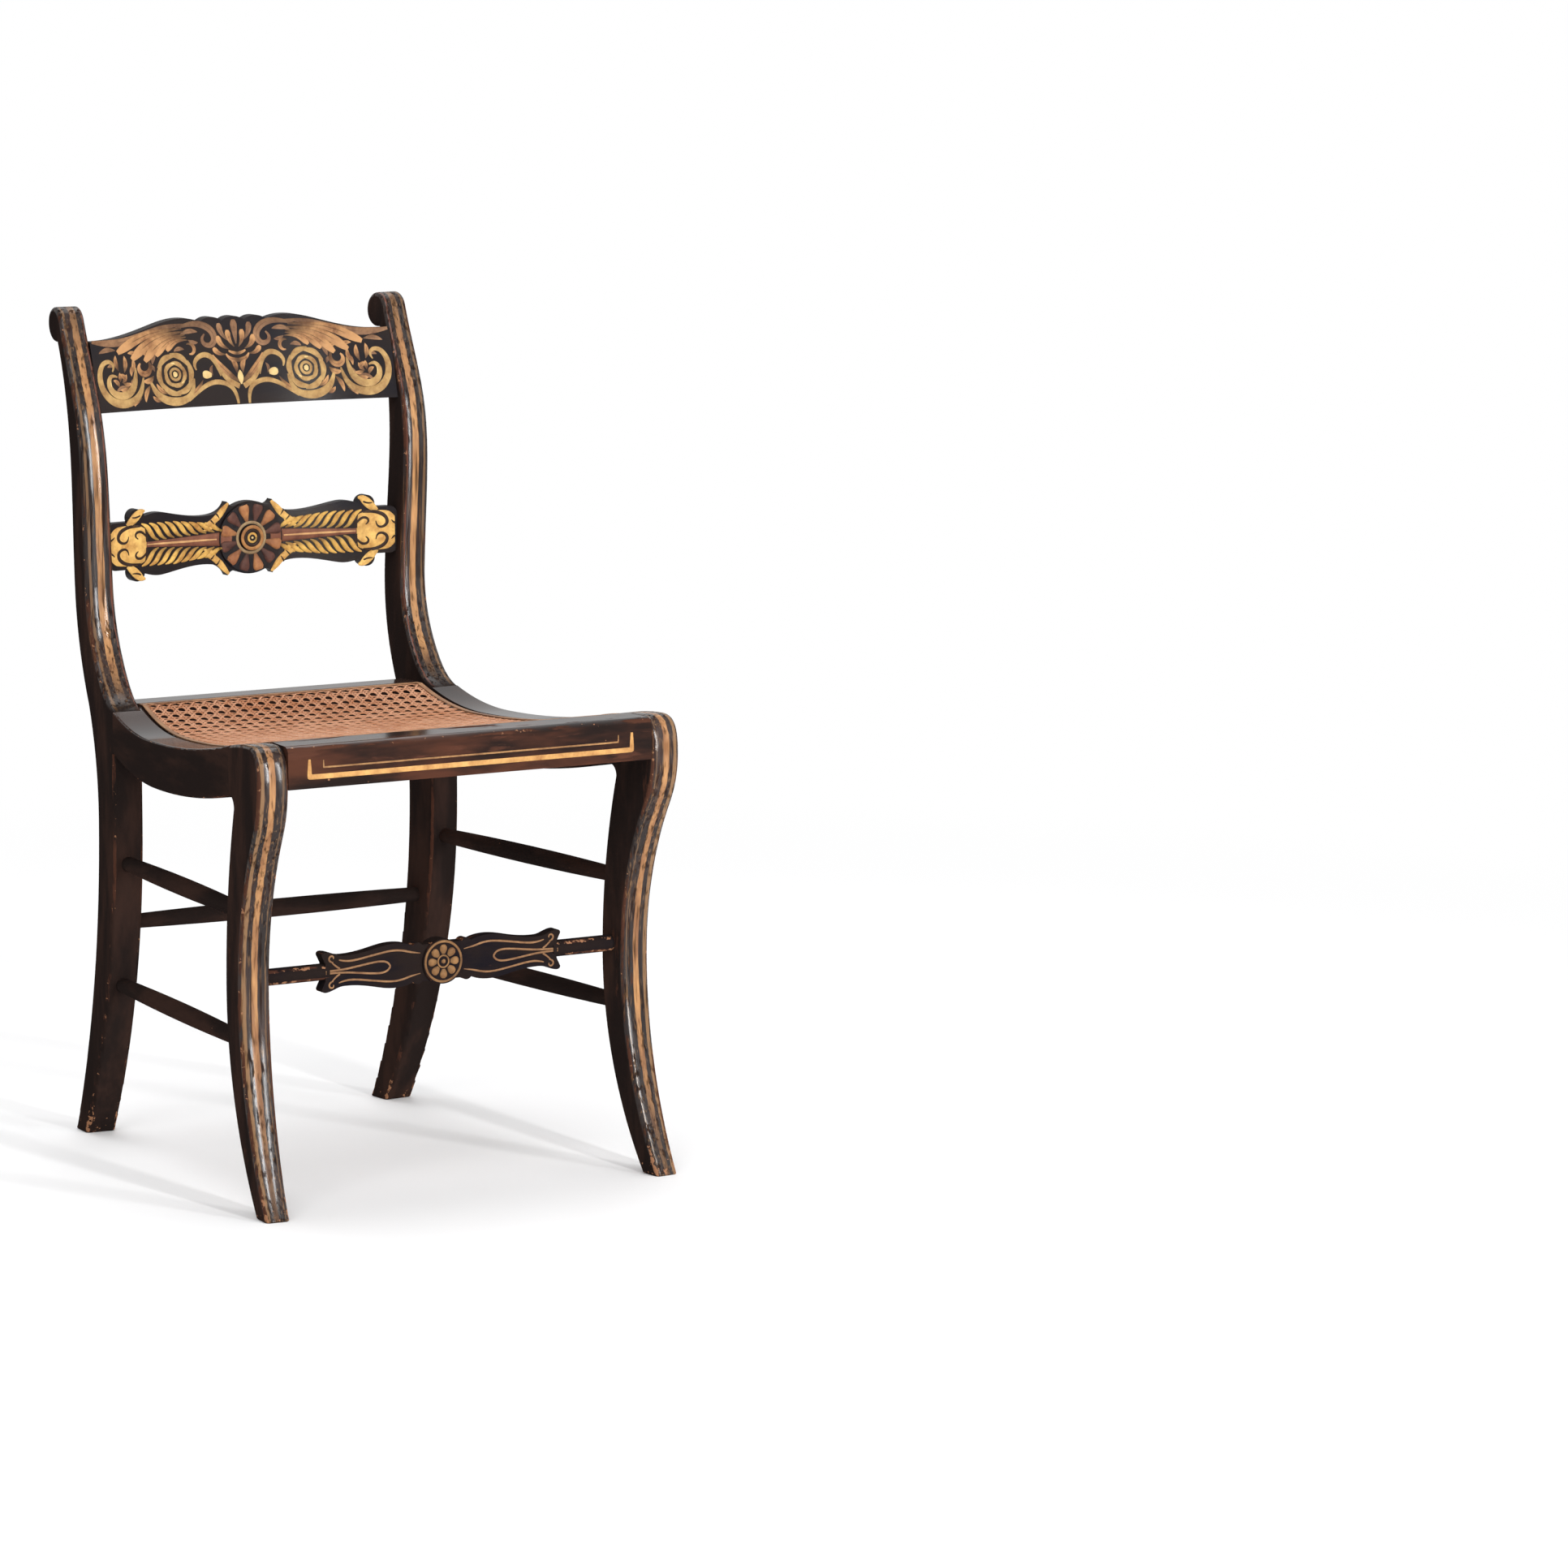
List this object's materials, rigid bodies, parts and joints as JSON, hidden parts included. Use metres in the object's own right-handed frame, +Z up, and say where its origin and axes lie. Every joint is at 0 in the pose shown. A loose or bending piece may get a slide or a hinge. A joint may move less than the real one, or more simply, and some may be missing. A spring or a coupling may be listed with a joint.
{
  "type": "painted side chair",
  "caption": "Klismos-style painted side chair: scroll-topped stiles, stencilled crest, carved splat, dished woven cane seat, sabre legs and turned stretchers.",
  "frame": {"origin": "centre of the bounding box on the floor, under the seat", "axes": "+Z up, the chair faces -Y, +X to the right as seen from the front"},
  "size_m": [0.4604, 0.5331, 0.8365],
  "materials": {
    "painted_frame": "dark brown-black paint with gold striping under varnish, worn",
    "stencilled_crest": "black ground with bronze-powder stencil, varnished",
    "gilded_splat": "carved, gold and umber paint, varnished",
    "gilded_stretcher": "dark paint with thin gold lines, worn",
    "woven_cane": "aged rattan cane, satin",
    "binder_cane": "flat rattan binder, satin"
  },
  "bodies": {
    "root": {"cane_panel": "woven_cane", "crest_rail": "stencilled_crest", "front_binder": "binder_cane", "front_leg_left": "painted_frame", "front_leg_right": "painted_frame", "front_rail": "painted_frame", "front_stretcher": "gilded_stretcher", "lower_side_stretcher_left": "painted_frame", "lower_side_stretcher_right": "painted_frame", "mid_splat": "gilded_splat", "rear_binder": "binder_cane", "rear_post_left": "painted_frame", "rear_post_right": "painted_frame", "rear_rail": "painted_frame", "rear_stretcher": "painted_frame", "side_binder_left": "binder_cane", "side_binder_right": "binder_cane", "side_rail_left": "painted_frame", "side_rail_right": "painted_frame", "upper_side_stretcher_left": "painted_frame", "upper_side_stretcher_right": "painted_frame"}
  },
  "joints": []
}
